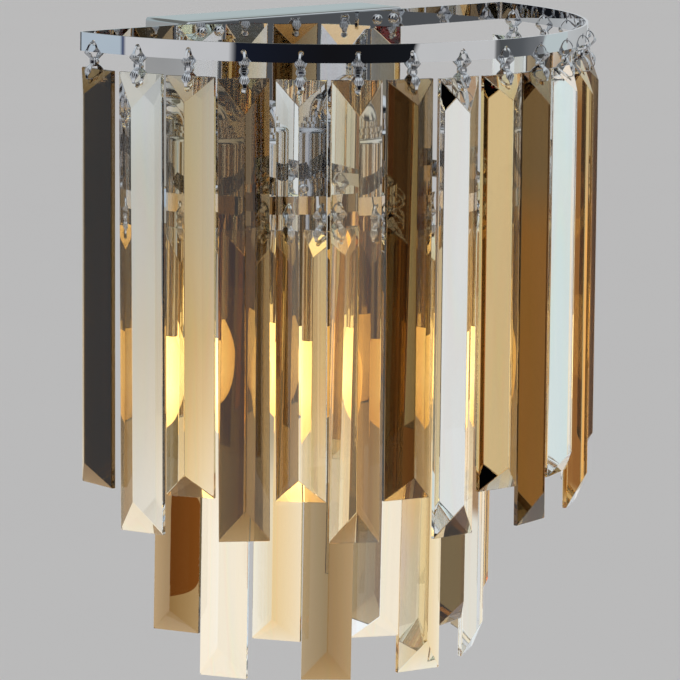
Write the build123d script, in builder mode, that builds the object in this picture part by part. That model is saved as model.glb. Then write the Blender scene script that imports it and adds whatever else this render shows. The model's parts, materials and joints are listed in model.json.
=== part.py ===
from build123d import *
from math import asin, cos, degrees, radians, sin, sqrt
import os

# Crystal wall sconce. Millimetres, +Z up. The wall is the plane Y = 0 and the light stands out
# towards -Y. The origin is the middle of the wall bracket's back face, between its two slots.

# ---------------------------------------------------------------- driving dimensions

# Backplate: an open-backed box of bent sheet
plate_width = 133.0
plate_height = 180.0
plate_depth = 28.0
plate_wall = 1.2
plate_bend = 1.5
plate_top = 12.8

# Wall bracket: a strap with two ears bent forward
bracket_height = 22.0
bracket_gauge = 1.5
bracket_bend = 2.5
ear_clearance = 0.4
ear_front_gap = 1.6
slot_spacing = 90.0
slot_length = 14.0
slot_width = 4.6
cover_screw_depth = 23.0
cover_screw_height = 8.6

# Bands that carry the crystals
strip_height = 8.0
strip_gauge = 1.2
strip_bend = 2.6
upper_radius = 130.0
upper_height = 8.0
upper_end_gap = 10.0
lower_radius = 85.0
lower_height = -63.0
lower_end_gap = 15.8
drop_spacing = 23.4
return_tail = 12.0
hook_hole = 2.4
band_screw_inset = 7.5
band_screw_pitch = 10.0

# Cut glass prisms: short ones at the odd places, long ones at the even places
prism_width = 22.0
prism_thickness = 9.0
prism_edge = 2.0
short_length = 182.0
long_length = 200.0
short_bevel = 10.7
long_bevel = 14.7
bevel_bite = 0.25
prism_hole = 2.4
prism_hole_drop = 4.9

# Bow-tie clips: half widths of the closed spring, seen from its side, and widths of its petals
clip_pitch = 15.6
clip_gauge = 0.5
clip_bar = 1.3
clip_neck = 1.8
clip_petal = 4.7
clip_waist = 2.6
clip_eye = 4.2
clip_eye_hole = 2.6
clip_shoulder = 1.3
clip_swell = 3.8
clip_pinch = 0.8
clip_clearance = 0.55
clip_neck_drop = 1.2
clip_swell_drop = 3.6
clip_waist_drop = 6.2
clip_pinch_drop = 7.4
clip_eye_drop = 8.1
clip_open_drop = 11.2
clip_lower_petal_drop = 13.3
hang_slack = 0.1

# Screws and nuts
m3 = 3.0
m4 = 4.0
m10 = 10.0
tapping_fit = 0.05
screw_fit = 0.2
driver_slot = 0.8
driver_slot_depth = 0.8
band_head = 4.8
band_head_height = 1.7
cover_head = 6.0
cover_head_height = 2.1
cover_screw_length = 4.0
earth_head = 7.6
earth_head_height = 2.6
earth_screw_length = 1.3
m3_nut_flats = 5.5
m3_nut_height = 2.4
m3_tail = 1.0
m10_nut_flats = 14.0
m10_nut_height = 3.0
m10_tail = 2.0

# Lamp arms and their flanges
lamp_spacing = 62.0
lamp_reach = 24.0
arm_height = -27.5
arm_diameter = 10.0
arm_bore = 7.6
arm_bend = 6.0
arm_fit = 0.1
flange_diameter = 22.0
flange_height = 4.0
flange_rim = 1.2

# Sleeves, collars and lampholders
sleeve_top = -38.0
sleeve_bottom = -128.0
sleeve_diameter = 27.0
sleeve_wall = 0.8
sleeve_shoulder = 3.0
collar_height = 4.2
collar_ring = 15.0
collar_groove = 12.4
collar_foot = 17.0
collar_ring_height = 1.9
collar_groove_height = 0.9
holder_diameter = 23.6
holder_neck = 14.0
holder_neck_height = 12.0
holder_spigot = 8.5
holder_wire_bore = 6.0
holder_cavity = 16.4
holder_length = 60.0
holder_fit = 0.1
shell_gauge = 0.5
shell_length = 17.0
contact_width = 4.0
contact_gauge = 0.5
contact_reach = 5.0
contact_drop = 3.2

# Candle lamps, caps upwards
lamp_tip = -177.0
lamp_length = 102.0
lamp_diameter = 35.0
glass_wall = 0.9
cap_diameter = 13.8
cap_length = 16.8
cap_gauge = 0.4
cap_thread_depth = 0.45
cap_thread_pitch = 2.8
cap_turns = 4
glass_neck = 11.6
glass_neck_depth = 5.0
glass_throat = 14.6
glass_mouth = 21.6
glass_mouth_depth = 2.5
glass_belly_depth = 17.0
glass_taper = 22.0
glass_taper_rise = 9.0
insulator_length = 4.4
insulator_top = 6.0
insulator_bottom = 12.2
solder_diameter = 4.6
solder_height = 1.2

# Terminal block, cable entry and inner leads
block_width = 30.0
block_height = 17.0
block_depth = 13.0
block_pitch = 10.0
block_groove = 1.6
block_groove_depth = 3.0
block_bore = 4.6
tube_diameter = 4.2
tube_bore = 2.8
clamp_hole = 3.4
clamp_spacing = 9.0
clamp_sink = 1.0
entry_place = 25.0
grommet_bore = 7.0
grommet_body = 10.0
grommet_flange = 14.0
grommet_flange_height = 2.0
lead_diameter = 3.2
lead_bend = 10.0
lead_end_gap = 0.4

os.makedirs("parts", exist_ok=True)

# ---------------------------------------------------------------- sizes worked out from them

plate_front = -plate_depth
plate_inside = plate_front + plate_wall
plate_middle = plate_top - plate_height / 2
lamp_y = plate_front - lamp_reach
lamp_sides = {"left": -1, "right": 1}
lamp_x = lamp_spacing / 2
sides = (-1, 1)
band_screw_outer = plate_width / 2 - band_screw_inset
return_end = band_screw_outer - band_screw_pitch - return_tail
band_screw_places = [
    (side * (band_screw_outer - step * band_screw_pitch), height)
    for side in sides
    for step in (0, 1)
    for height in (upper_height, lower_height)
]
ear_outer = plate_width / 2 - plate_wall - ear_clearance
ear_front = plate_inside + ear_front_gap

# The prism hangs with the middle of its cross-section under the hook hole.
slab_area = prism_width * prism_edge
ridge_rise = prism_thickness - prism_edge
ridge_area = prism_width * ridge_rise / 2
slab_moment = slab_area * prism_edge / 2
ridge_moment = ridge_area * (prism_edge + ridge_rise / 3)
prism_back = (slab_moment + ridge_moment) / (slab_area + ridge_area)
hole_rise = sqrt(prism_hole**2 - clip_bar**2) / 2
prism_hole_height = -(clip_pitch - clip_gauge / 2 - hang_slack + hole_rise)
prism_top = prism_hole_height + prism_hole_drop
clip_jaw = prism_back + clip_clearance + clip_gauge / 2

holder_top = sleeve_top - sleeve_wall - holder_fit
holder_bottom = holder_top - holder_length
arm_end = holder_top - holder_spigot + holder_fit
cap_crown = lamp_tip + lamp_length - solder_height - insulator_length
cap_rim = cap_crown - cap_length
contact_top = lamp_tip + lamp_length + contact_drop + holder_fit
block_front = -bracket_gauge - block_depth
block_axis = -bracket_gauge - block_depth / 2


def save(piece, name):
    """Label a finished piece and write it to its own file."""
    piece.part.label = name
    export_step(piece.part, f"parts/{name}.step")


def save_copies(piece, name, planes):
    """Put one equal solid on every plane and write them together."""
    with BuildPart() as group:
        with Locations(*planes):
            add(piece.part)
    save(group, name)


def outward(angle):
    """Direction from the middle of a band to the hook hole at this angle."""
    return Vector(-cos(radians(angle)), -sin(radians(angle)), 0)


def hook_angles(radius, end_gap):
    """Angles of the hook holes, evenly spread round a band that starts end_gap off the plate."""
    first = degrees(asin(end_gap / radius))
    steps = int(radians(180 - 2 * first) * radius / drop_spacing)
    return [first + i * (180 - 2 * first) / steps for i in range(steps + 1)]


def facing_front(x, y, z):
    """A plane that looks towards the room."""
    return Plane(origin=(x, y, z), x_dir=(1, 0, 0), z_dir=(0, -1, 0))


# ---------------------------------------------------------------- backplate and wall bracket

with BuildPart() as backplate:
    with BuildSketch(Plane.XZ):
        with Locations((0, plate_middle)):
            Rectangle(plate_width, plate_height)
    extrude(amount=plate_depth)
    fillet(backplate.edges().filter_by(Axis.Y), radius=plate_bend)
    fillet(backplate.faces().sort_by(Axis.Y)[0].edges(), radius=plate_bend)
    offset(amount=-plate_wall, openings=backplate.faces().sort_by(Axis.Y)[-1])
    with Locations(*[facing_front(x, plate_front - plate_wall, z) for x, z in band_screw_places]):
        Hole(radius=m3 / 2 + screw_fit, depth=3 * plate_wall)
    with Locations(*[facing_front(side * lamp_x, plate_front - plate_wall, arm_height) for side in sides]):
        Hole(radius=m10 / 2 + screw_fit, depth=3 * plate_wall)
    with BuildSketch(Plane.YZ):
        with Locations((-cover_screw_depth, cover_screw_height)):
            Circle(m3 / 2 + screw_fit)
    extrude(amount=plate_width, both=True, mode=Mode.SUBTRACT)
save(backplate, "backplate")

with BuildPart() as wall_bracket:
    with BuildSketch(Plane.XY.offset(-bracket_height / 2)) as bracket_section:
        with Locations((0, ear_front / 2)):
            Rectangle(2 * ear_outer, -ear_front)
        fillet(bracket_section.vertices().group_by(Axis.Y)[-1], radius=bracket_bend)
        with BuildSketch(mode=Mode.SUBTRACT) as bracket_hollow:
            with Locations((0, ear_front - bracket_gauge)):
                Rectangle(2 * (ear_outer - bracket_gauge), -2 * ear_front)
            fillet(bracket_hollow.vertices().group_by(Axis.Y)[-1], radius=bracket_bend - bracket_gauge)
    extrude(amount=bracket_height)
    with BuildSketch(Plane.XZ):
        with Locations((-slot_spacing / 2, 0), (slot_spacing / 2, 0)):
            SlotOverall(slot_length, slot_width)
        with Locations((entry_place, 0)):
            Circle(m4 / 2 + tapping_fit)
        with Locations((-entry_place, 0)):
            Circle(grommet_body / 2 + holder_fit)
    extrude(amount=2 * bracket_gauge, mode=Mode.SUBTRACT)
    with BuildSketch(Plane.YZ):
        with Locations((-cover_screw_depth, cover_screw_height)):
            Circle(m3 / 2 + tapping_fit)
    extrude(amount=plate_width, both=True, mode=Mode.SUBTRACT)
save(wall_bracket, "wall_bracket")

# ---------------------------------------------------------------- screws and nuts


def pan_screw(diameter, length, head, head_height):
    """A slotted screw standing on its seat: head above the plane Z = 0, shank below it."""
    with BuildPart() as screw:
        with BuildSketch():
            Circle(head / 2)
        extrude(amount=head_height)
        fillet(screw.faces().sort_by(Axis.Z)[-1].edges(), radius=head_height * driver_slot)
        with BuildSketch(Plane.XY.offset(head_height)):
            Rectangle(head, driver_slot)
        extrude(amount=-driver_slot_depth, mode=Mode.SUBTRACT)
        with BuildSketch():
            Circle(diameter / 2)
        extrude(amount=-length)
    return screw


def hex_nut(diameter, flats, height):
    """A plain hexagon nut above the plane Z = 0."""
    with BuildPart() as nut:
        with BuildSketch():
            RegularPolygon(flats / 2, 6, major_radius=False, rotation=30)
            Circle(diameter / 2 + tapping_fit, mode=Mode.SUBTRACT)
        extrude(amount=height)
    return nut


band_screw_length = strip_gauge + plate_wall + m3_nut_height + m3_tail
band_screw = pan_screw(m3, band_screw_length, band_head, band_head_height)
save_copies(
    band_screw,
    "band_screws",
    [facing_front(x, plate_front - strip_gauge, z) for x, z in band_screw_places],
)

band_nut = hex_nut(m3, m3_nut_flats, m3_nut_height)
save_copies(
    band_nut,
    "band_nuts",
    [facing_front(x, plate_inside + m3_nut_height, z) for x, z in band_screw_places],
)

cover_screw = pan_screw(m3, cover_screw_length, cover_head, cover_head_height)
save_copies(
    cover_screw,
    "cover_screws",
    [
        Plane(
            origin=(side * plate_width / 2, -cover_screw_depth, cover_screw_height),
            x_dir=(0, 1, 0),
            z_dir=(side, 0, 0),
        )
        for side in sides
    ],
)

earth_screw = pan_screw(m4, earth_screw_length, earth_head, earth_head_height)
save_copies(earth_screw, "earth_screw", [facing_front(entry_place, -bracket_gauge, 0)])

# ---------------------------------------------------------------- bands


def bent_band(radius, height, end_gap):
    """A strip bent to a half ring, its ends returned flat along the plate and drilled."""
    outer = radius + strip_gauge / 2
    with BuildPart() as strip:
        with BuildSketch(Plane.XY.offset(height - strip_height / 2)) as outline:
            with Locations((0, plate_front)):
                Circle(outer)
                Rectangle(2 * outer, outer, align=(Align.CENTER, Align.MIN), mode=Mode.SUBTRACT)
            fillet(outline.vertices(), radius=strip_bend)
            offset(amount=-strip_gauge, mode=Mode.SUBTRACT)
            with Locations((0, plate_front)):
                Rectangle(2 * return_end, 3 * strip_gauge, mode=Mode.SUBTRACT)
        extrude(amount=strip_height)
        with Locations(*[
            Plane(
                origin=Vector(0, plate_front, height) + outward(angle) * (radius + strip_gauge),
                z_dir=outward(angle),
            )
            for angle in hook_angles(radius, end_gap)
        ]):
            Hole(radius=hook_hole / 2, depth=2 * strip_gauge)
        with Locations(*[
            facing_front(x, plate_front - 2 * strip_gauge, z) for x, z in band_screw_places if z == height
        ]):
            Hole(radius=m3 / 2 + screw_fit, depth=3 * strip_gauge)
    return strip


upper_band = bent_band(upper_radius, upper_height, upper_end_gap)
save(upper_band, "upper_band")
lower_band = bent_band(lower_radius, lower_height, lower_end_gap)
save(lower_band, "lower_band")

# ---------------------------------------------------------------- crystals and clips


def cut_prism(length, bevel):
    """A three-faced glass bar hanging under the origin, its ridge towards the room."""
    back = prism_back
    with BuildPart() as prism:
        with BuildSketch(Plane.XY.offset(prism_top)):
            with BuildLine():
                Polyline(
                    (-prism_width / 2, back),
                    (prism_width / 2, back),
                    (prism_width / 2, back - prism_edge),
                    (0, back - prism_thickness),
                    (-prism_width / 2, back - prism_edge),
                    close=True,
                )
            make_face()
        extrude(amount=-length)
        lip = back - prism_edge + bevel_bite
        ridge = back - prism_thickness
        slope = (lip - ridge) / bevel
        with BuildSketch(Plane.YZ):
            for end, way in ((prism_top, 1), (prism_top - length, -1)):
                with BuildLine():
                    Polyline(
                        (lip + bevel_bite * slope, end + way * bevel_bite),
                        (ridge - bevel_bite * slope, end - way * (bevel + bevel_bite)),
                        (ridge - bevel_bite * slope, end + way * bevel_bite),
                        close=True,
                    )
                make_face()
        extrude(amount=prism_width, both=True, mode=Mode.SUBTRACT)
        with BuildSketch(Plane.XZ):
            with Locations((0, prism_hole_height)):
                Circle(prism_hole / 2)
        extrude(amount=prism_thickness, both=True, mode=Mode.SUBTRACT)
    return prism


with BuildPart() as clip:
    with BuildSketch(Plane.YZ):
        with BuildLine() as clip_side:
            Polyline(
                (0, clip_gauge / 2),
                (clip_shoulder, clip_gauge / 2),
                (clip_swell + clip_gauge / 2, -clip_swell_drop),
                (clip_pinch + clip_gauge / 2, -clip_pinch_drop),
                (clip_pinch + clip_gauge / 2, 2 * -clip_eye_drop + clip_pinch_drop),
                (clip_jaw + clip_gauge / 2, -clip_open_drop),
                (clip_jaw + clip_gauge / 2, -clip_pitch - clip_gauge / 2),
                (0, -clip_pitch - clip_gauge / 2),
            )
            mirror(clip_side.line, about=Plane.YZ)
        make_face()
        offset(amount=-clip_gauge, kind=Kind.INTERSECTION, mode=Mode.SUBTRACT)
    extrude(amount=clip_petal, both=True)
    with BuildSketch(Plane.XZ):
        with BuildLine() as clip_front:
            Polyline(
                (0, clip_gauge),
                (clip_neck / 2, clip_gauge),
                (clip_neck / 2, -clip_neck_drop),
                (clip_petal / 2, -clip_swell_drop),
                (clip_waist / 2, -clip_waist_drop),
                (clip_waist / 2, 2 * -clip_eye_drop + clip_waist_drop),
                (clip_petal / 2, -clip_lower_petal_drop),
                (clip_bar / 2, -clip_pitch + clip_gauge),
                (clip_bar / 2, -clip_pitch - clip_gauge),
                (0, -clip_pitch - clip_gauge),
            )
            mirror(clip_front.line, about=Plane.YZ)
        make_face()
        with Locations((0, -clip_eye_drop)):
            Circle(clip_eye / 2)
            Circle(clip_eye_hole / 2, mode=Mode.SUBTRACT)
    extrude(amount=2 * clip_jaw, both=True, mode=Mode.INTERSECT)

short_prism = cut_prism(short_length, short_bevel)
long_prism = cut_prism(long_length, long_bevel)


def hang_drops(tier, radius, height, end_gap):
    """Hang a crystal with its clip from every hole of a band, short and long in turn."""
    for i, angle in enumerate(hook_angles(radius, end_gap)):
        hook = Vector(0, plate_front, height) + outward(angle) * radius
        with BuildPart() as drop:
            with Locations(Location(hook, (0, 0, angle - 90))):
                add(clip.part)
                add(short_prism.part if i % 2 == 0 else long_prism.part)
        save(drop, f"{tier}_drop_{i + 1:02d}")


hang_drops("upper", upper_radius, upper_height, upper_end_gap)
hang_drops("lower", lower_radius, lower_height, lower_end_gap)

# ---------------------------------------------------------------- arms, flanges, sleeves, collars

for name, side in lamp_sides.items():
    with BuildPart() as arm:
        arm_start = plate_inside + m10_nut_height + m10_tail
        with BuildLine() as arm_route:
            FilletPolyline(
                (side * lamp_x, arm_start, arm_height),
                (side * lamp_x, lamp_y, arm_height),
                (side * lamp_x, lamp_y, arm_end),
                radius=arm_bend,
            )
        with BuildSketch(facing_front(side * lamp_x, arm_start, arm_height)):
            Circle(arm_diameter / 2)
            Circle(arm_bore / 2, mode=Mode.SUBTRACT)
        sweep()
    save(arm, f"{name}_arm")

with BuildPart() as flange:
    with BuildSketch(Plane.XZ):
        with BuildLine():
            bore_foot = (arm_diameter / 2 + arm_fit, 0)
            bore_head = (arm_diameter / 2 + arm_fit, flange_height)
            Line(bore_foot, (flange_diameter / 2, 0))
            Line((flange_diameter / 2, 0), (flange_diameter / 2, flange_rim))
            Line(bore_head, bore_foot)
            Line(bore_head, (arm_diameter / 2 + flange_rim, flange_height))
            TangentArc(
                (arm_diameter / 2 + flange_rim, flange_height),
                (flange_diameter / 2, flange_rim),
                tangent=(0, -1),
            )
        make_face()
    revolve(axis=Axis.Z)
save_copies(
    flange, "arm_flanges", [facing_front(side * lamp_x, plate_front, arm_height) for side in sides]
)

arm_nut = hex_nut(m10, m10_nut_flats, m10_nut_height)
save_copies(
    arm_nut,
    "arm_nuts",
    [facing_front(side * lamp_x, plate_inside + m10_nut_height, arm_height) for side in sides],
)

lamp_planes = {name: Plane(origin=(side * lamp_x, lamp_y, 0)) for name, side in lamp_sides.items()}

with BuildPart() as collar:
    with BuildSketch(Plane.XZ):
        with Locations((0, sleeve_top)):
            Rectangle(collar_foot / 2, collar_height, align=(Align.MIN, Align.MIN))
            Rectangle(arm_diameter / 2 + arm_fit, collar_height, align=Align.MIN, mode=Mode.SUBTRACT)
        with Locations((collar_foot / 2, sleeve_top + collar_height)):
            Rectangle(
                (collar_foot - collar_ring) / 2,
                collar_ring_height,
                align=Align.MAX,
                mode=Mode.SUBTRACT,
            )
        with Locations((collar_foot / 2, sleeve_top + collar_height - collar_ring_height)):
            Rectangle(
                (collar_foot - collar_groove) / 2,
                collar_groove_height,
                align=Align.MAX,
                mode=Mode.SUBTRACT,
            )
    revolve(axis=Axis.Z)
save_copies(collar, "sleeve_collars", list(lamp_planes.values()))

with BuildPart() as sleeve:
    with BuildSketch(Plane.XY.offset(sleeve_bottom)):
        Circle(sleeve_diameter / 2)
    extrude(amount=sleeve_top - sleeve_bottom)
    fillet(sleeve.faces().sort_by(Axis.Z)[-1].edges(), radius=sleeve_shoulder)
    offset(amount=-sleeve_wall, openings=sleeve.faces().sort_by(Axis.Z)[0])
    with Locations((0, 0, sleeve_top + sleeve_wall)):
        Hole(radius=arm_diameter / 2 + screw_fit, depth=3 * sleeve_wall)

# ---------------------------------------------------------------- lampholders

holder_cavity_top = contact_top + contact_gauge / 2 + holder_fit
with BuildPart() as lampholder:
    with BuildSketch(Plane.XY.offset(holder_bottom)):
        Circle(holder_diameter / 2)
    extrude(amount=holder_length - holder_neck_height)
    chamfer(lampholder.edges().group_by(Axis.Z)[-1], length=holder_wire_bore / 3)
    with BuildSketch(Plane.XY.offset(holder_bottom)):
        Circle(holder_neck / 2)
    extrude(amount=holder_length)
    with Locations((0, 0, holder_top)):
        Hole(radius=arm_diameter / 2 + arm_fit, depth=holder_spigot)
        Hole(radius=holder_wire_bore / 2, depth=holder_length)
    with BuildSketch(Plane.XY.offset(holder_bottom)):
        Circle(holder_cavity / 2)
    extrude(amount=holder_cavity_top - holder_bottom, mode=Mode.SUBTRACT)

with BuildPart() as holder_shell:
    with BuildSketch(Plane.XY.offset(holder_bottom + shell_gauge)):
        Circle(holder_cavity / 2 - holder_fit)
        Circle(holder_cavity / 2 - holder_fit - shell_gauge, mode=Mode.SUBTRACT)
    extrude(amount=shell_length)

with BuildPart() as holder_contact:
    with BuildSketch(Plane.XZ):
        with BuildLine():
            FilletPolyline(
                (-contact_reach, contact_top),
                (contact_reach, contact_top),
                (contact_reach, contact_top - contact_drop / 2),
                (-contact_reach / 2, contact_top - contact_drop + contact_gauge / 2),
                radius=contact_gauge,
            )
        trace(line_width=contact_gauge)
    extrude(amount=contact_width / 2, both=True)

# ---------------------------------------------------------------- candle lamps


def glass_outline(inset):
    """Draw one closed half of the glass, down to the tip and back up along the axis."""
    top = cap_rim + glass_neck_depth
    neck = glass_neck / 2 - inset
    throat = (glass_throat / 2 - inset, cap_rim - glass_neck_depth)
    mouth = (glass_mouth / 2 - inset, sleeve_bottom + glass_mouth_depth)
    belly = (lamp_diameter / 2 - inset, sleeve_bottom - glass_belly_depth)
    taper = (glass_taper / 2 - inset, lamp_tip + glass_taper_rise)
    tip = (0, lamp_tip + inset)
    Polyline((0, top), (neck, top), (neck, cap_rim), throat)
    Spline(throat, mouth, belly, tangents=((glass_neck_depth, -glass_mouth), (0, -1)))
    Spline(belly, taper, tip, tangents=((0, -1), (-1, -1)))
    Line(tip, (0, top))


with BuildPart() as bulb:
    with BuildSketch(Plane.XZ):
        with BuildLine():
            glass_outline(0)
        make_face()
        with BuildLine():
            glass_outline(glass_wall)
        make_face(mode=Mode.SUBTRACT)
    revolve(axis=Axis.Z)

with BuildPart() as bulb_cap:
    with BuildSketch(Plane.XZ):
        with BuildLine():
            crest = cap_diameter / 2
            root = crest - cap_thread_depth
            bore = root - cap_gauge
            thread = [(root, cap_crown - cap_thread_pitch / 2)]
            for turn in range(cap_turns):
                depth = cap_crown - cap_thread_pitch * (turn + 1)
                thread += [(crest, depth), (root, depth - cap_thread_pitch / 2)]
            Polyline(
                (bore - cap_thread_depth, cap_crown),
                (root - cap_thread_depth, cap_crown),
                *thread,
                (root, cap_rim),
                (bore, cap_rim),
                (bore, cap_crown - cap_gauge),
                (bore - cap_thread_depth, cap_crown - cap_gauge),
                close=True,
            )
        make_face()
    revolve(axis=Axis.Z)

with BuildPart() as cap_insulator:
    with BuildSketch(Plane.XZ):
        with BuildLine():
            Polyline(
                (0, cap_crown),
                (insulator_bottom / 2, cap_crown),
                (insulator_top / 2, cap_crown + insulator_length),
                (0, cap_crown + insulator_length),
                close=True,
            )
        make_face()
    revolve(axis=Axis.Z)

with BuildPart() as solder_contact:
    with BuildSketch(Plane.XY.offset(cap_crown + insulator_length)):
        Circle(solder_diameter / 2)
    extrude(amount=solder_height)
    fillet(solder_contact.faces().sort_by(Axis.Z)[-1].edges(), radius=solder_height / 2)

for name, plane in lamp_planes.items():
    save_copies(sleeve, f"{name}_sleeve", [plane])
    save_copies(lampholder, f"{name}_lampholder", [plane])
    save_copies(bulb, f"{name}_bulb", [plane])
    save_copies(bulb_cap, f"{name}_bulb_cap", [plane])
save_copies(holder_shell, "holder_shells", list(lamp_planes.values()))
save_copies(holder_contact, "holder_contacts", list(lamp_planes.values()))
save_copies(cap_insulator, "cap_insulators", list(lamp_planes.values()))
save_copies(solder_contact, "cap_contacts", list(lamp_planes.values()))

# ---------------------------------------------------------------- terminal block and wiring

poles = [pole * block_pitch for pole in (-1, 0, 1)]
clamps = [(x, z * clamp_spacing / 2) for x in poles for z in sides]

with BuildPart() as terminal_block:
    with BuildSketch(Plane.XZ.offset(bracket_gauge)):
        Rectangle(block_width, block_height)
    extrude(amount=block_depth)
    fillet(terminal_block.edges().filter_by(Axis.Z).group_by(Axis.Y)[0], radius=block_groove / 2)
    with BuildSketch(Plane.XZ.offset(-block_front)):
        with Locations(*[(side * block_pitch / 2, 0) for side in sides]):
            Rectangle(block_groove, block_height)
    extrude(amount=-block_groove_depth, mode=Mode.SUBTRACT)
    with BuildSketch(Plane.XY):
        with Locations(*[(x, block_axis) for x in poles]):
            Circle(block_bore / 2)
    extrude(amount=block_height, both=True, mode=Mode.SUBTRACT)
    with Locations(*[facing_front(x, block_front, z) for x, z in clamps]):
        Hole(radius=clamp_hole / 2, depth=block_depth / 2)
save(terminal_block, "terminal_block")

with BuildPart() as terminal_tubes:
    with BuildSketch(Plane.XY.offset(-block_height / 2 + clamp_sink)):
        with Locations(*[(x, block_axis) for x in poles]):
            Circle(tube_diameter / 2)
            Circle(tube_bore / 2, mode=Mode.SUBTRACT)
    extrude(amount=block_height - 2 * clamp_sink)
save(terminal_tubes, "terminal_tubes")

with BuildPart() as terminal_screws:
    with BuildSketch(Plane.XZ.offset(-block_front - clamp_sink)):
        with Locations(*clamps):
            Circle(m3 / 2)
    extrude(amount=-(block_depth - tube_diameter) / 2 + clamp_sink + holder_fit)
    with BuildSketch(Plane.XZ.offset(-block_front - clamp_sink)):
        with Locations(*clamps):
            Rectangle(m3, driver_slot)
    extrude(amount=-driver_slot_depth, mode=Mode.SUBTRACT)
save(terminal_screws, "terminal_screws")

with BuildPart() as cable_grommet:
    with BuildSketch(Plane.XZ):
        with Locations((-entry_place, 0)):
            Circle(grommet_body / 2)
    extrude(amount=bracket_gauge)
    with BuildSketch(Plane.XZ.offset(bracket_gauge)):
        with Locations((-entry_place, 0)):
            Circle(grommet_flange / 2)
    extrude(amount=grommet_flange_height)
    fillet(cable_grommet.faces().sort_by(Axis.Y)[0].edges(), radius=grommet_flange_height / 3)
    with BuildSketch(Plane.XZ):
        with Locations((-entry_place, 0)):
            Circle(grommet_bore / 2)
    extrude(amount=2 * (bracket_gauge + grommet_flange_height), mode=Mode.SUBTRACT)
save(cable_grommet, "cable_grommet")

for name, side in lamp_sides.items():
    with BuildPart() as lead:
        lead_top = -block_height / 2 - lead_end_gap
        with BuildLine() as lead_route:
            FilletPolyline(
                (side * block_pitch, block_axis, lead_top),
                (side * block_pitch, block_axis, arm_height),
                (side * lamp_x, block_axis, arm_height),
                (side * lamp_x, lamp_y, arm_height),
                (side * lamp_x, lamp_y, holder_cavity_top + lead_end_gap),
                radius=lead_bend,
            )
        with BuildSketch(Plane.XY.offset(lead_top)):
            with Locations((side * block_pitch, block_axis)):
                Circle(lead_diameter / 2)
        sweep()
    save(lead, f"{name}_lead")
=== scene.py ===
import json
import math

import bmesh
import bpy
from mathutils import Matrix, Vector


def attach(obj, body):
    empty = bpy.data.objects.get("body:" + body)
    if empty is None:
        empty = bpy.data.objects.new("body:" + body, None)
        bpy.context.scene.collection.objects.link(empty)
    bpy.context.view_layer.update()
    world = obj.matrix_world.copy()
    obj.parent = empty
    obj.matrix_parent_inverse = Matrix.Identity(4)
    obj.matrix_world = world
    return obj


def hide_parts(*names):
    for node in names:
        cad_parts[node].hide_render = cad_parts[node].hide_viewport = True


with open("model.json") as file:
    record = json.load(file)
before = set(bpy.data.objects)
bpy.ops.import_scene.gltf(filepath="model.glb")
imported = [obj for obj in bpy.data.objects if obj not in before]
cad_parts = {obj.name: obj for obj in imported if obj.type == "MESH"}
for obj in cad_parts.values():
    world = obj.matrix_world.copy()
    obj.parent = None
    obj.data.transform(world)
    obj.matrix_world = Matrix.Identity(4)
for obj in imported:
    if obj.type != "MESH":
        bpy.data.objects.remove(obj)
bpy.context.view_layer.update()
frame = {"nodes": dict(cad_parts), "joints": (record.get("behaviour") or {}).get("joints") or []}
MM = 0.001
scene = bpy.context.scene

# ---------------------------------------------------------------- camera

# Fitted to the holes and edges of the bands, the plate's edges and the crystals' ends
AZIMUTH, ELEVATION, ROLL = (math.radians(v) for v in (-44.472, 8.718, 0.964))
DISTANCE = 2.0894
FOCAL_PIXELS = 4684.8
PHOTO_PIXELS = 680
AIM = Vector((0.0, -0.080, -0.112))
CENTRE_SHIFT = (34.03, -37.79)

back = Vector(
    (
        math.sin(AZIMUTH) * math.cos(ELEVATION),
        -math.cos(AZIMUTH) * math.cos(ELEVATION),
        math.sin(ELEVATION),
    )
)
level = Vector((0, 0, 1)).cross(back).normalized()
upright = back.cross(level)
right = level * math.cos(ROLL) + upright * math.sin(ROLL)
above = upright * math.cos(ROLL) - level * math.sin(ROLL)
camera_data = bpy.data.cameras.new("photo_camera")
camera_data.sensor_width = 36
camera_data.lens = FOCAL_PIXELS / PHOTO_PIXELS * camera_data.sensor_width
camera_data.shift_x = -CENTRE_SHIFT[0] / PHOTO_PIXELS
camera_data.shift_y = CENTRE_SHIFT[1] / PHOTO_PIXELS
camera_data.clip_start = 0.05
camera = bpy.data.objects.new("photo_camera", camera_data)
turn = Matrix((right, above, back)).transposed().to_4x4()
camera.matrix_world = Matrix.Translation(AIM + back * DISTANCE) @ turn
scene.collection.objects.link(camera)
scene.camera = camera

# ---------------------------------------------------------------- node helpers


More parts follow.
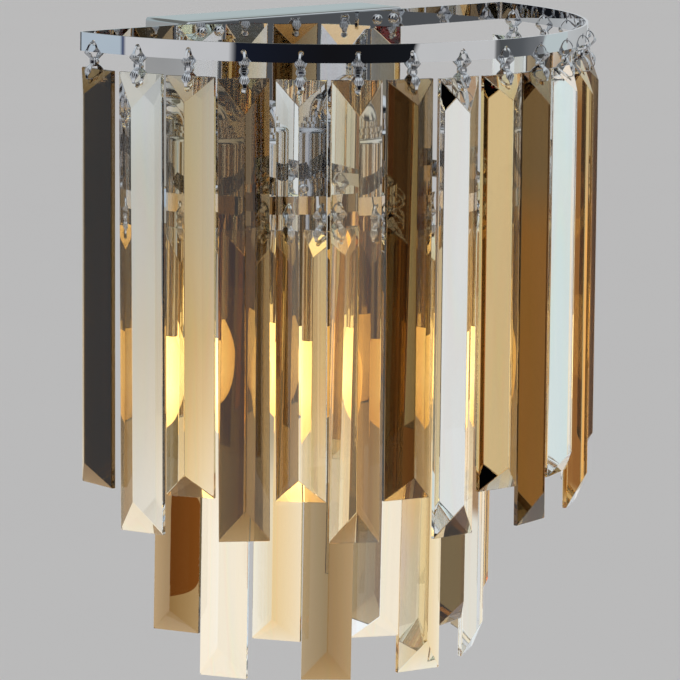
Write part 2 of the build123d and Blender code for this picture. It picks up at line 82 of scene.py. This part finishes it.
class Nodes:
    """Adds shader nodes to one material or world."""

    def __init__(self, tree):
        self.tree = tree

    def add(self, kind, **values):
        """A new node with its properties, or the sockets of those names, set."""
        node = self.tree.nodes.new("ShaderNode" + kind)
        for name, value in values.items():
            if hasattr(node, name):
                setattr(node, name, value)
            else:
                self.feed(node, name.replace("_", " "), value)
        return node

    def feed(self, node, name, value):
        """Links or sets a socket, named by its name or by its number."""
        socket = node.inputs[int(name)] if name.isdigit() else node.inputs[name]
        if isinstance(value, bpy.types.NodeSocket):
            self.tree.links.new(value, socket)
        else:
            socket.default_value = value

    def math(self, operation, *values):
        """What a Math node makes of these values."""
        node = self.add("Math", operation=operation)
        for i, value in enumerate(values):
            self.feed(node, str(i), value)
        return node.outputs[0]

    def spread(self, value, low, high, to_low=0.0, to_high=1.0, smooth=False):
        """The value taken from one range into another."""
        node = self.tree.nodes.new("ShaderNodeMapRange")
        node.interpolation_type = "SMOOTHSTEP" if smooth else "LINEAR"
        for i, v in enumerate((value, low, high, to_low, to_high)):
            self.feed(node, str(i), v)
        return node.outputs[0]

    def noise(self, where, scale, detail=3.0, stretch=(1, 1, 1)):
        """Noise whose pattern is long along the axes with a small stretch."""
        place = self.add("Mapping")
        self.feed(place, "Vector", where)
        self.feed(place, "Scale", stretch)
        node = self.add("TexNoise")
        self.feed(node, "Vector", place.outputs[0])
        self.feed(node, "Scale", scale)
        self.feed(node, "Detail", detail)
        return node.outputs[0]

    def ramp(self, value, stops):
        """A run of colours: stops are (position, colour)."""
        node = self.add("ValToRGB")
        self.feed(node, "Fac", value)
        elements = node.color_ramp.elements
        while len(elements) < len(stops):
            elements.new(0.5)
        for element, (position, colour) in zip(elements, stops):
            element.position = position
            element.color = (*colour, 1)
        return node.outputs[0]

    def mix(self, fac, first, second):
        """A colour between two, the first where fac is 0."""
        node = self.tree.nodes.new("ShaderNodeMix")
        node.data_type = "RGBA"
        self.feed(node, "0", fac)
        for i, value in ((6, first), (7, second)):
            if not isinstance(value, bpy.types.NodeSocket) and len(value) == 3:
                value = (*value, 1)
            self.feed(node, str(i), value)
        return node.outputs[2]


def material(name, **sockets):
    """A material with a Principled shader whose uniform values stand on its own sockets."""
    made = bpy.data.materials.new(name)
    made.use_nodes = True
    shader = made.node_tree.nodes["Principled BSDF"]
    for key, value in sockets.items():
        socket = shader.inputs[key.replace("_", " ")]
        if hasattr(socket.default_value, "__len__") and len(value) == 3:
            value = (*value, 1)
        socket.default_value = value
    n = Nodes(made.node_tree)
    where = n.add("TexCoord").outputs["Object"]
    return made, n, shader, where


def bumped(n, value, strength, depth, normal=None):
    """The normal with bumps of this height value on it."""
    bump = n.add("Bump", Strength=strength, Distance=depth, Height=value)
    if normal:
        n.feed(bump, "Normal", normal)
    return bump.outputs[0]


def relief(n, shader, heights, edge=0.0003):
    """Bumps on rounded edges: heights are (value, strength, depth)."""
    normal = n.add("Bevel", samples=4, Radius=edge).outputs[0]
    for value, strength, depth in heights:
        normal = bumped(n, value, strength, depth, normal)
    n.feed(shader, "Normal", normal)


# ---------------------------------------------------------------- materials


def chrome():
    """Polished plate: slow waves of the sheet, fine lines in its gloss, an uneven tone."""
    made, n, shader, where = material("chrome", Metallic=1.0, IOR=2.5)
    haze = n.noise(where, 60, 4)
    lines = n.noise(where, 900, 2, (1, 1, 0.02))
    waves = n.noise(where, 22, 1)
    tone = n.mix(haze, (0.61, 0.62, 0.645), (0.68, 0.685, 0.705))
    n.feed(shader, "Base Color", tone)
    n.feed(shader, "Roughness", n.spread(lines, 0.3, 0.7, 0.0, 0.02))
    n.feed(shader, "Normal", bumped(n, waves, 0.05, 0.002))
    return made


def zinc():
    """Zinc-plated steel: cloudy spangle, rolled lines, dull in the low places."""
    made, n, shader, where = material("zinc_steel", Metallic=1.0)
    cells = n.add("TexVoronoi")
    n.feed(cells, "Vector", where)
    n.feed(cells, "Scale", 190)
    rolled = n.noise(where, 700, 3, (0.03, 1, 1))
    tone = n.mix(cells.outputs[0], (0.50, 0.51, 0.53), (0.66, 0.67, 0.68))
    n.feed(shader, "Base Color", tone)
    n.feed(shader, "Roughness", n.spread(rolled, 0.3, 0.7, 0.24, 0.42))
    relief(n, shader, ((rolled, 0.12, 0.0001),))
    return made


def soft_metal(name, light, dark, rough, grain):
    """A bare metal with turned lines and tarnish in patches."""
    made, n, shader, where = material(name, Metallic=1.0)
    patches = n.noise(where, 140, 4)
    turned = n.noise(where, grain, 2, (0.05, 0.05, 1))
    n.feed(shader, "Base Color", n.mix(patches, dark, light))
    n.feed(shader, "Roughness", n.spread(turned, 0.3, 0.7, rough, rough + 0.15))
    relief(n, shader, ((turned, 0.15, 0.0001),))
    return made


def moulded(name, light, dark, rough, coat=0.0):
    """Moulded plastic or rubber: a fine pebbled skin with faint flow marks."""
    made, n, shader, where = material(name, Coat_Weight=coat, Coat_Roughness=0.1)
    flow = n.noise(where, 70, 3, (1, 1, 0.3))
    skin = n.noise(where, 2600, 2)
    n.feed(shader, "Base Color", n.mix(flow, dark, light))
    n.feed(shader, "Roughness", n.spread(flow, 0.3, 0.7, rough - 0.06, rough + 0.08))
    relief(n, shader, ((skin, 0.2, 0.00005), (flow, 0.1, 0.0002)), 0.0004)
    return made


# Painted fire: faint spectral streaks in the base colour that stand in for light split by the
# glass, over the run of the glass's cords
PAINTED_FIRE = (
    (0.0, (0.98, 0.98, 0.98)),
    (0.40, (1.0, 1.0, 1.0)),
    (0.47, (0.96, 0.98, 1.0)),
    (0.52, (0.96, 1.0, 0.97)),
    (0.57, (1.0, 0.99, 0.93)),
    (0.62, (1.0, 0.95, 0.94)),
    (0.69, (1.0, 1.0, 1.0)),
    (1.0, (0.99, 0.99, 0.99)),
)


def cut_glass(name, film, tint, density, ior):
    """Cut crystal: a tinted skin with faint painted fire, colour that deepens inside, wavy faces.
    """
    made, n, shader, where = material(name, Transmission_Weight=1.0, IOR=ior, Roughness=0.0)
    shift = n.add("VectorMath", operation="MULTIPLY_ADD")
    n.feed(shift, "0", n.add("ObjectInfo").outputs["Random"])
    n.feed(shift, "1", (3.0, 5.0, 0.0))
    n.feed(shift, "2", where)
    fire_streaks = n.noise(shift.outputs[0], 75, 1, (1, 1, 0.05))
    # The painted fire's colours, times the glass's own tint
    skin = [(at, tuple(a * b for a, b in zip(film, colour))) for at, colour in PAINTED_FIRE]
    n.feed(shader, "Base Color", n.ramp(n.spread(fire_streaks, 0.25, 0.75), skin))
    waves = n.noise(where, 45, 1, (1, 1, 0.3))
    n.feed(shader, "Normal", bumped(n, waves, 0.06, 0.0006))
    inside = n.add("VolumeAbsorption")
    inside.inputs["Color"].default_value = (*tint, 1)
    inside.inputs["Density"].default_value = density
    n.feed(made.node_tree.nodes["Material Output"], "Volume", inside.outputs[0])
    return made


# Heights of a lamp's two ends, in metres
LAMP_TIP, LAMP_NECK = -0.180, -0.098


def lit_glass():
    """Lamp glass: brightest round the filament, dimmer and more amber at the neck and the tip."""
    made, n, shader, where = material(
        "lamp_glass", Roughness=0.08, IOR=1.5, Coat_Weight=0.6, Emission_Strength=2.3
    )
    height = n.add("SeparateXYZ")
    n.feed(height, "0", where)
    glow = n.ramp(
        n.spread(height.outputs[2], LAMP_TIP, LAMP_NECK),
        (
            (0.0, (0.55, 0.30, 0.05)),
            (0.12, (0.85, 0.54, 0.14)),
            (0.35, (1.0, 0.77, 0.36)),
            (0.62, (1.0, 0.74, 0.28)),
            (0.85, (0.80, 0.48, 0.09)),
            (1.0, (0.25, 0.13, 0.03)),
        ),
    )
    frost = n.noise(where, 900, 2)
    n.feed(shader, "Base Color", n.mix(frost, (0.90, 0.84, 0.72), (0.97, 0.93, 0.84)))
    n.feed(shader, "Emission Color", glow)
    relief(n, shader, ((frost, 0.05, 0.00005),))
    return made


FINISHES = {
    "chrome": chrome(),
    "zinc_steel": zinc(),
    "brass": soft_metal("brass", (0.82, 0.62, 0.30), (0.62, 0.43, 0.18), 0.22, 900),
    "cap_metal": soft_metal("cap_metal", (0.76, 0.76, 0.75), (0.6, 0.6, 0.6), 0.28, 700),
    "holder_plastic": moulded("holder_plastic", (0.08, 0.075, 0.07), (0.05, 0.047, 0.044), 0.42),
    "block_plastic": moulded("block_plastic", (0.87, 0.86, 0.82), (0.79, 0.78, 0.73), 0.35, 0.2),
    "lead_cover": moulded("lead_cover", (0.82, 0.82, 0.80), (0.73, 0.73, 0.71), 0.5),
    "grommet_rubber": moulded("grommet_rubber", (0.05, 0.05, 0.05), (0.03, 0.03, 0.03), 0.6),
    "black_glass": moulded("black_glass", (0.035, 0.035, 0.04), (0.02, 0.02, 0.025), 0.12, 1.0),
    "lamp_glass": lit_glass(),
    "smoked_glass": cut_glass("smoked_glass", (0.50, 0.38, 0.23), (0.55, 0.42, 0.16), 115, 1.52),
    "clear_glass": cut_glass("clear_glass", (1, 1, 1), (0.2, 0.8, 0.5), 1.5, 1.62),
    "champagne_glass": cut_glass("champagne_glass", (1, 0.99, 0.97), (0.87, 0.65, 0.15), 85, 1.62),
}
slot_names = sorted(FINISHES, key=len, reverse=True)
for node in frame["nodes"].values():
    for holder in node.material_slots:
        name = holder.material.name
        holder.material = FINISHES[next(s for s in slot_names if name.startswith(s))]

# ---------------------------------------------------------------- crystals

# Sizes in mm, heights from the hook down
PRISM_WIDTH = 22.0
PRISM_THICKNESS = 9.0
PRISM_EDGE = 2.0
PRISM_BACK = 3.121
PRISM_TOP = -11.359
HOLE_HEIGHT = -16.259
HOLE_DIAMETER = 2.4
BEVEL_BITE = 0.25
ARRIS = 0.22
# Length, and how far the bevels at both ends reach along the ridge
SHORT = (182.0, 10.7)
LONG = (200.0, 14.7)


def add_object(name, mesh):
    made = bpy.data.objects.new(name, mesh)
    scene.collection.objects.link(made)
    return made


def applied(made):
    """The object's mesh with its modifiers, and the object gone."""
    bpy.context.view_layer.update()
    shown = made.evaluated_get(bpy.context.evaluated_depsgraph_get())
    mesh = bpy.data.meshes.new_from_object(shown)
    bpy.data.objects.remove(made)
    return mesh


def cut_prism(length, bevel):
    """One crystal under its hook at the origin, its ridge towards -Y."""
    bm = bmesh.new()
    half = PRISM_WIDTH / 2
    shoulder = PRISM_BACK - PRISM_EDGE
    ridge = PRISM_BACK - PRISM_THICKNESS
    outline = (
        (-half, PRISM_BACK),
        (-half, shoulder),
        (0, ridge),
        (half, shoulder),
        (half, PRISM_BACK),
    )
    low = [bm.verts.new((x, y, PRISM_TOP - length)) for x, y in outline]
    bottom = bm.faces.new(low)
    grown = bmesh.ops.extrude_face_region(bm, geom=[bottom])["geom"]
    for v in grown:
        if isinstance(v, bmesh.types.BMVert):
            v.co.z = PRISM_TOP
    lip = shoulder + BEVEL_BITE
    for end, way in ((PRISM_TOP, 1), (PRISM_TOP - length, -1)):
        bmesh.ops.bisect_plane(
            bm,
            geom=bm.verts[:] + bm.edges[:] + bm.faces[:],
            plane_co=(0, lip, end),
            plane_no=(0, -bevel, way * (lip - ridge)),
            clear_outer=True,
        )
        rim = [e for e in bm.edges if e.is_boundary]
        bmesh.ops.holes_fill(bm, edges=rim, sides=0)
    bmesh.ops.recalc_face_normals(bm, faces=bm.faces[:])
    mesh = bpy.data.meshes.new("prism")
    bm.to_mesh(mesh)
    bm.free()
    bore = bmesh.new()
    radius = HOLE_DIAMETER / 2
    bmesh.ops.create_cone(
        bore, cap_ends=True, segments=28, radius1=radius, radius2=radius, depth=30
    )
    bmesh.ops.rotate(bore, verts=bore.verts[:], matrix=Matrix.Rotation(math.pi / 2, 3, "X"))
    bmesh.ops.translate(bore, verts=bore.verts[:], vec=(0, 0, HOLE_HEIGHT))
    bore_mesh = bpy.data.meshes.new("bore")
    bore.to_mesh(bore_mesh)
    bore.free()
    drill = add_object("drill", bore_mesh)
    made = add_object("prism", mesh)
    cut = made.modifiers.new("bore", "BOOLEAN")
    cut.object = drill
    cut.solver = "EXACT"
    soft = made.modifiers.new("arris", "BEVEL")
    soft.width = ARRIS
    soft.segments = 2
    soft.angle_limit = math.radians(14)
    mesh = applied(made)
    bpy.data.objects.remove(drill)
    mesh.transform(Matrix.Scale(MM, 4))
    return mesh


# ---------------------------------------------------------------- clips

# Half of the loop's side view as (y, z) in mm, then the width of the sheet at each height
CLIP_SIDE = (
    (0.0, 0.25),
    (1.4, 0.15),
    (2.6, -0.9),
    (3.5, -2.5),
    (3.9, -4.2),
    (2.3, -6.0),
    (0.95, -7.3),
    (0.8, -8.1),
    (1.1, -9.0),
    (2.9, -10.4),
    (3.75, -12.2),
    (3.9, -14.6),
    (3.2, -15.5),
    (0.0, -15.6),
)
CLIP_WIDTHS = (
    (0.3, 0.9),
    (-2.2, 0.95),
    (-4.6, 4.4),
    (-7.2, 2.3),
    (-8.1, 2.0),
    (-9.2, 2.3),
    (-11.8, 4.4),
    (-14.4, 1.4),
    (-16.0, 1.2),
)
CLIP_GAUGE = 0.42
CLIP_COLUMNS = 24
FLUTES = 4
FLUTE_DEPTH = 0.24
FLAT_WIDTH = 2.2
FLUTED_EXTRA = 2.4
PETAL_CURL = 0.5
EYELET_HEIGHT = -8.1
EYELET_STEPS = 28
# The eyelet's section as (radius, y)
EYELET_PROFILE = (
    (1.35, 0.9),
    (1.35, -0.9),
    (1.6, -1.2),
    (1.9, -1.25),
    (2.1, -1.0),
    (2.1, 1.0),
    (1.9, 1.25),
    (1.6, 1.2),
)


def between(table, value):
    """The table's second column at a value of its first, which falls."""
    for (a, wa), (b, wb) in zip(table, table[1:]):
        if value >= b:
            t = min(max((value - a) / (b - a), 0), 1)
            t = t * t * (3 - 2 * t)
            return wa + (wb - wa) * t
    return table[-1][1]


def smooth_run(points, steps):
    """Points along a Catmull-Rom curve through a run that mirrors at both ends."""
    ends = ((-points[1][0], points[1][1]), *points, (-points[-2][0], points[-2][1]))
    made = []
    for p0, p1, p2, p3 in zip(ends, ends[1:], ends[2:], ends[3:]):
        for k in range(steps):
            t = k / steps
            made.append(
                tuple(
                    0.5
                    * (
                        2 * b
                        + (c - a) * t
                        + (2 * a - 5 * b + 4 * c - d) * t * t
                        + (3 * b - a - 3 * c + d) * t**3
                    )
                    for a, b, c, d in zip(p0, p1, p2, p3)
                )
            )
    made.append(points[-1])
    return made


def petals():
    """The clip's closed loop of fluted sheet, with its gauge."""
    half = smooth_run(CLIP_SIDE, 4)
    loop = half + [(-y, z) for y, z in reversed(half[1:-1])]
    bm = bmesh.new()
    rows = []
    for i, (y, z) in enumerate(loop):
        before, after = loop[i - 1], loop[(i + 1) % len(loop)]
        along = Vector((0, after[0] - before[0], after[1] - before[1])).normalized()
        outward = Vector((0, -along.z, along.y))
        width = between(CLIP_WIDTHS, z)
        swell = max(0.0, (width - FLAT_WIDTH) / FLUTED_EXTRA)
        row = []
        for j in range(CLIP_COLUMNS + 1):
            u = 2 * j / CLIP_COLUMNS - 1
            flute = math.cos(math.pi * FLUTES * u) * FLUTE_DEPTH - u * u * PETAL_CURL
            place = Vector((u * width / 2, y, z)) + outward * flute * swell
            row.append(bm.verts.new(place))
        rows.append(row)
    for i, row in enumerate(rows):
        following = rows[(i + 1) % len(rows)]
        for j in range(CLIP_COLUMNS):
            bm.faces.new((row[j], row[j + 1], following[j + 1], following[j]))
    mesh = bpy.data.meshes.new("clip")
    bm.to_mesh(mesh)
    bm.free()
    made = add_object("clip", mesh)
    sheet = made.modifiers.new("gauge", "SOLIDIFY")
    sheet.thickness = CLIP_GAUGE
    sheet.offset = 0
    return applied(made)


def bow_clip():
    """A closed spring: two fluted petals on each side of an eyelet, held by band and crystal."""
    mesh = petals()
    bm = bmesh.new()
    bm.from_mesh(mesh)
    rings = []
    for k in range(EYELET_STEPS):
        angle = 2 * math.pi * k / EYELET_STEPS
        rings.append(
            [
                bm.verts.new((r * math.cos(angle), y, EYELET_HEIGHT + r * math.sin(angle)))
                for r, y in EYELET_PROFILE
            ]
        )
    for k, ring in enumerate(rings):
        following = rings[(k + 1) % EYELET_STEPS]
        for j in range(len(EYELET_PROFILE)):
            m = (j + 1) % len(EYELET_PROFILE)
            bm.faces.new((ring[j], ring[m], following[m], following[j]))
    bmesh.ops.recalc_face_normals(bm, faces=bm.faces[:])
    for face in bm.faces:
        face.smooth = True
    bm.to_mesh(mesh)
    bm.free()
    mesh.transform(Matrix.Scale(MM, 4))
    mesh.materials.append(FINISHES["chrome"])
    return mesh


clip_mesh = bow_clip()
GLASS_ORDER = ("smoked_glass", "clear_glass", "champagne_glass")
prisms = {}
for size in (SHORT, LONG):
    plain = cut_prism(*size)
    for glass in GLASS_ORDER:
        prisms[size, glass] = plain.copy()
        prisms[size, glass].materials.clear()
        prisms[size, glass].materials.append(FINISHES[glass])

# How far each crystal that the photograph shows has turned on its clip and leans, in degrees
TURNS = {
    "upper": (10, 1, -1, -15, 10, 3, -5, -6.9, 3.8, 0, 0, 0, 14),
    "lower": (-12, 0, 12, 9, 11, 11),
}
LEANS = {
    "upper": (0.5, 0.75, 0.65, 0.8, 0.75, 0.5, 0.4, 0.25, 0.4, 0.4, 0.4, 0.4, 0.4),
    "lower": (-0.3, -0.1, 0, -0.2, -0.35),
}


def listed(values, index):
    """The value at this index, or 0 for the crystals that the photograph hides."""
    return values[index] if index < len(values) else 0


for joint in frame["joints"]:
    tier, _, number = joint["name"].partition("_swing_")
    index = int(number) - 1
    node = f"{tier}_drop_{number}"
    body = joint["child"]
    axis = Vector(joint["axis"])
    angle = math.atan2(-axis.x, axis.y)
    turned = listed(TURNS[tier], index)
    leaning = listed(LEANS[tier], index)
    place = (
        Matrix.Translation(Vector(joint["pos_m"]))
        @ Matrix.Rotation(math.radians(leaning), 4, Vector((back.x, back.y, 0)))
        @ Matrix.Rotation(angle - math.pi / 2 - math.radians(turned), 4, "Z")
    )
    glass = GLASS_ORDER[index % 3]
    crystal = add_object(f"{tier}_crystal_{number}", prisms[LONG if index % 2 else SHORT, glass])
    crystal.matrix_world = place
    clip = add_object(f"{tier}_clip_{number}", clip_mesh)
    clip.matrix_world = place
    for piece, finish in ((crystal, glass), (clip, "chrome")):
        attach(piece, body)
        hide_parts(node)

# ---------------------------------------------------------------- room

BACKDROP = (0.491, 0.491, 0.491)
WALL_CARD_Y = 0.0015
WALL_SPLIT = 0.28
RING_CENTRE_Y = -0.028
ALL_BUT_REFRACTED = ("camera", "diffuse", "glossy", "shadow")


def studio_world():
    """Soft boxes either side of the camera, dark cloth between; the camera sees plain grey."""
    world = bpy.data.worlds.new("studio")
    scene.world = world
    world.use_nodes = True
    n = Nodes(world.node_tree)
    ray = n.add("SeparateXYZ")
    n.feed(ray, "0", n.add("TexCoord").outputs["Generated"])
    x, y, z = ray.outputs
    turn = n.math("ARCTAN2", n.math("MULTIPLY", y, -1.0), n.math("MULTIPLY", x, -1.0))
    degrees = n.math("DEGREES", turn)
    part = n.spread(degrees, -180, 180)

    def at(angle, *colour):
        """A stop at this angle: -180 to 180, 0 is left, 90 is in front of the wall."""
        return ((angle + 180) / 360, colour)

    round_about = n.ramp(
        part,
        (
            at(-180, 0.68, 0.70, 0.70),
            at(-150, 0.49, 0.50, 0.50),
            at(-85, 0.49, 0.50, 0.50),
            at(-80, 0.015, 0.015, 0.02),
            at(-52, 0.015, 0.015, 0.02),
            at(-48, 0.60, 0.70, 0.78),
            at(-26, 0.60, 0.70, 0.78),
            at(-25.4, 0.03, 0.05, 0.15),
            at(-24.4, 0.03, 0.05, 0.15),
            at(-24, 0.79, 0.79, 0.79),
            at(20, 0.78, 0.78, 0.78),
            at(22, 0.012, 0.016, 0.03),
            at(58, 0.010, 0.010, 0.012),
            at(93, 0.012, 0.014, 0.018),
            at(95, 0.78, 0.78, 0.77),
            at(129.5, 0.78, 0.78, 0.77),
            at(131, 0.10, 0.105, 0.11),
            at(145, 0.13, 0.14, 0.15),
            at(154, 0.22, 0.23, 0.24),
            at(160, 0.30, 0.31, 0.32),
            at(163, 0.68, 0.77, 0.77),
        ),
    )
    over = n.spread(z, 0.55, 0.85, smooth=True)
    under = n.spread(z, -0.45, -0.75, smooth=True)
    colour = n.mix(over, round_about, (0.80, 0.86, 0.90))
    colour = n.mix(under, colour, (0.42, 0.42, 0.42))
    colour = n.mix(n.add("LightPath").outputs["Is Camera Ray"], colour, BACKDROP)
    n.feed(world.node_tree.nodes["Background"], "Color", colour)


def stage_mesh(name, vertices, faces):
    """A mesh of the room, which isn't part of the sconce."""
    mesh = bpy.data.meshes.new(name)
    mesh.from_pydata(vertices, [], faces)
    made = add_object(name, mesh)
    return made


def floor():
    """A plain pale floor that only light and the camera meet."""
    reach, height = 24.0, -1.1
    corners = ((-reach, -reach), (reach, -reach), (reach, reach), (-reach, reach))
    made = stage_mesh("floor", [(x, y, height) for x, y in corners], [(0, 1, 2, 3)])
    finish, n, shader, where = material("floor_paint", Roughness=0.9, Specular_IOR_Level=0.1)
    tone = n.mix(n.noise(where, 2.0, 2), (0.802, 0.750, 0.725), (0.816, 0.764, 0.737))
    n.feed(shader, "Base Color", tone)
    made.data.materials.append(finish)
    made.visible_glossy = False
    made.visible_transmission = False


def lit_card(name, vertices, faces, hidden_from, paint):
    """A glowing card; paint(n, x, z) gives its colour, and the named rays don't meet it."""
    made = stage_mesh(name, vertices, faces)
    finish = bpy.data.materials.new(name)
    finish.use_nodes = True
    finish.node_tree.nodes.remove(finish.node_tree.nodes["Principled BSDF"])
    n = Nodes(finish.node_tree)
    place = n.add("SeparateXYZ")
    n.feed(place, "0", n.add("TexCoord").outputs["Object"])
    light = n.add("Emission")
    n.feed(light, "Color", paint(n, place.outputs[0], place.outputs[2]))
    n.feed(finish.node_tree.nodes["Material Output"], "Surface", light.outputs[0])
    made.data.materials.append(finish)
    for ray in hidden_from:
        setattr(made, "visible_" + ray, False)


def wall_card(name, x_from, x_to, hidden_from, paint):
    """A glowing card in the wall's plane."""
    corners = ((x_from, -0.6), (x_to, -0.6), (x_to, 0.6), (x_from, 0.6))
    vertices = [(x, WALL_CARD_Y, z) for x, z in corners]
    lit_card(name, vertices, [(0, 1, 2, 3)], hidden_from, paint)


def near_wall(n, x, z):
    """The wall behind the light: pale, the lamps' warm light low down, one brown patch of painted
    shadow.
    """
    stops = (
        (-0.200, (0.97, 0.86, 0.68)),
        (-0.165, (0.83, 0.68, 0.46)),
        (-0.130, (0.68, 0.55, 0.36)),
        (-0.085, (0.56, 0.52, 0.43)),
        (-0.030, (0.50, 0.49, 0.45)),
        (-0.012, (0.45, 0.45, 0.44)),
        (0.010, (0.43, 0.44, 0.43)),
        (0.0125, (0.47, 0.55, 0.56)),
        (0.0155, (0.47, 0.55, 0.56)),
        (0.018, (0.19, 0.20, 0.185)),
    )
    low, high = -0.22, 0.03
    stops = [((height - low) / (high - low), colour) for height, colour in stops]
    glow = n.ramp(n.spread(z, low, high), stops)
    low_down = n.spread(z, -0.20, -0.24, smooth=True)
    high_up = n.spread(z, -0.06, -0.02, smooth=True)
    beside = n.mix(high_up, (0.50, 0.50, 0.48), (0.66, 0.69, 0.71))
    beside = n.mix(low_down, beside, (0.92, 0.95, 0.97))
    colour = n.mix(n.spread(n.math("ABSOLUTE", x), 0.075, 0.15, smooth=True), glow, beside)
    # Painted shadow: a brown patch with a curved lower edge that stands for a lamp's shadow on the
    # wall
    shadow_patch_x = n.math("POWER", n.math("DIVIDE", n.math("ADD", x, 0.068), 0.0125), 4.0)
    shadow_patch_z = n.math("POWER", n.math("DIVIDE", n.math("ADD", z, 0.2265), 0.0235), 6.0)
    shade = n.spread(n.math("ADD", shadow_patch_x, shadow_patch_z), 1.0, 0.92, smooth=True)
    return n.mix(shade, colour, (0.45, 0.20, 0.06))


def far_wall(n, x, z):
    """The wall further right: brown, bright at its foot and grey at the bands' height."""
    foot = n.spread(z, -0.266, -0.276, smooth=True)
    low = n.mix(foot, (0.34, 0.19, 0.09), (0.80, 0.76, 0.68))
    return n.mix(n.spread(z, -0.07, -0.03, smooth=True), low, (0.60, 0.62, 0.62))


def bounce(n, x, z):
    """Grey, with the lamps' golden light on it at their height."""
    under_sleeves = n.spread(z, -0.085, -0.13, smooth=True)
    above_foot = n.spread(z, -0.32, -0.26, smooth=True)
    golden = n.math("MULTIPLY", under_sleeves, above_foot)
    return n.mix(golden, (0.72, 0.72, 0.74), (1.05, 0.77, 0.44))


def bounce_card(start, sweep):
    """A curved card for refracted light only: it brightens what the crystals enclose."""
    radius, columns = 0.45, 12
    vertices = []
    for i in range(columns + 1):
        angle = math.radians(start + sweep * i / columns)
        x, y = -radius * math.cos(angle), RING_CENTRE_Y - radius * math.sin(angle)
        vertices += [(x, y, -1.4), (x, y, 1.2)]
    faces = [(2 * i, 2 * i + 2, 2 * i + 3, 2 * i + 1) for i in range(columns)]
    lit_card(f"bounce_card_{start}", vertices, faces, ALL_BUT_REFRACTED, bounce)


studio_world()
floor()
wall_card("wall_light", -0.125, WALL_SPLIT, ("camera", "diffuse", "shadow"), near_wall)
wall_card("far_wall_light", WALL_SPLIT, 0.9, ALL_BUT_REFRACTED, far_wall)
bounce_card(18, 79)
bounce_card(132, 22)

# ---------------------------------------------------------------- picture

scene.view_settings.view_transform = "Standard"
scene.view_settings.look = "None"
scene.cycles.max_bounces = 32
scene.cycles.transmission_bounces = 28
scene.cycles.glossy_bounces = 16
scene.cycles.transparent_max_bounces = 16
scene.cycles.sample_clamp_indirect = 6.0
